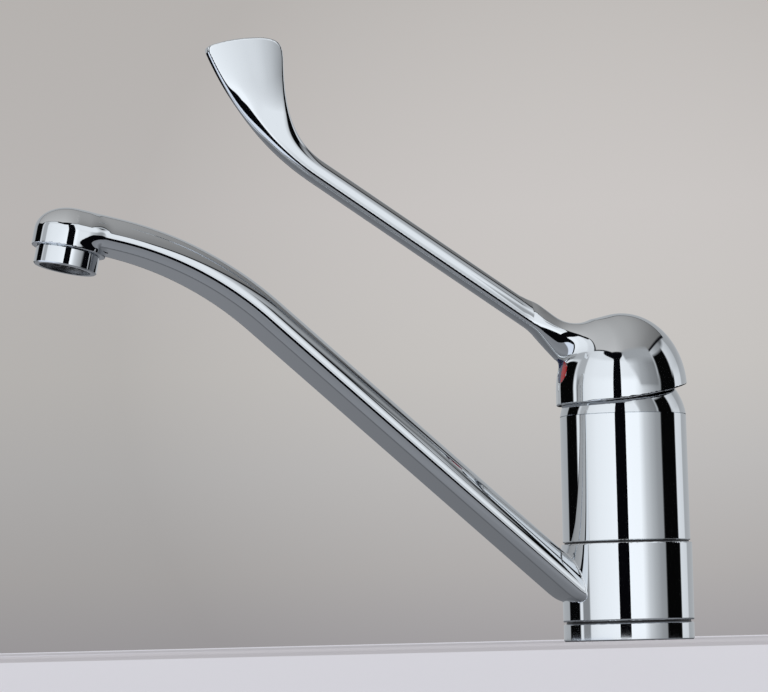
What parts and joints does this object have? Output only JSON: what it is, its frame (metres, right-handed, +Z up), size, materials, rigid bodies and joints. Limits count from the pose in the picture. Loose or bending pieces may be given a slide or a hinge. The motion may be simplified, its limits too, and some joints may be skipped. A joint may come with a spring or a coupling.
{
  "type": "single-lever sink mixer tap",
  "caption": "Deck-mounted chrome mixer tap with a low swivelling cast spout, a domed cap and a long elbow lever that ends in an upright blade.",
  "frame": {"origin": "centre of the base ring on the deck's top face", "axes": "+Z up along the body's axis; the spout and the lever point along -X at rest; +Y completes the frame"},
  "size_m": [0.2655, 0.056, 0.2973],
  "materials": {
    "chrome": "bright nickel-chrome plate on cast or turned brass and zinc",
    "steel": "turned or stamped stainless steel",
    "brass": "machined, unplated",
    "rubber": "moulded black EPDM and nitrile",
    "dark_plastic": "moulded dark grey acetal",
    "acetal": "moulded off-white acetal",
    "ceramic": null,
    "index_red": "moulded red acrylic",
    "index_blue": "moulded blue acrylic"
  },
  "bodies": {
    "base": {"base_ring": "chrome", "base_gasket": "rubber", "retaining_clip": "steel", "body": "chrome", "glide_ring_lower": "dark_plastic", "glide_ring_upper": "dark_plastic", "spout_seal_lower": "rubber", "spout_seal_upper": "rubber", "cartridge_seals": "rubber", "cartridge_base": "acetal", "disc_fixed": "ceramic", "cartridge_housing": "acetal", "clamp_nut": "brass", "cover_ring": "chrome", "fixing_stud": "steel", "clamp_rubber": "rubber", "clamp_plate": "steel", "fixing_nut": "brass"},
    "spout": {"spout": "chrome", "aerator_washer": "rubber", "aerator_insert": "dark_plastic", "aerator_shell": "chrome"},
    "rotor": {"rotor": "dark_plastic", "rotor_seal": "rubber", "pivot_pin": "steel"},
    "disc": {"disc_moving": "ceramic", "disc_carrier": "acetal"},
    "lever": {"lever": "chrome", "lever_stem": "steel", "lever_screw": "steel", "index_red": "index_red", "index_blue": "index_blue"}
  },
  "joints": [
    {"name": "spout_swivel", "type": "hinge", "parent": "base", "child": "spout", "pos_m": [0, 0, 0.02325], "axis": [0, 0, 1], "continuous": true},
    {"name": "lever_turn", "type": "hinge", "parent": "base", "child": "rotor", "pos_m": [0, 0, 0.086], "axis": [0, 0, 1], "range_deg": [-50, 50]},
    {"name": "lever_lift", "type": "hinge", "parent": "rotor", "child": "lever", "pos_m": [0, 0, 0.086], "axis": [0, 1, 0], "range_deg": [0, 25]},
    {"name": "disc_slide", "type": "slide", "parent": "rotor", "child": "disc", "axis": [-1, 0, 0], "range_m": [0, 0.0059]}
  ],
  "couplings": [
    {"joint": "disc_slide", "follows": "lever_lift", "m_per_rad": 0.01337}
  ]
}
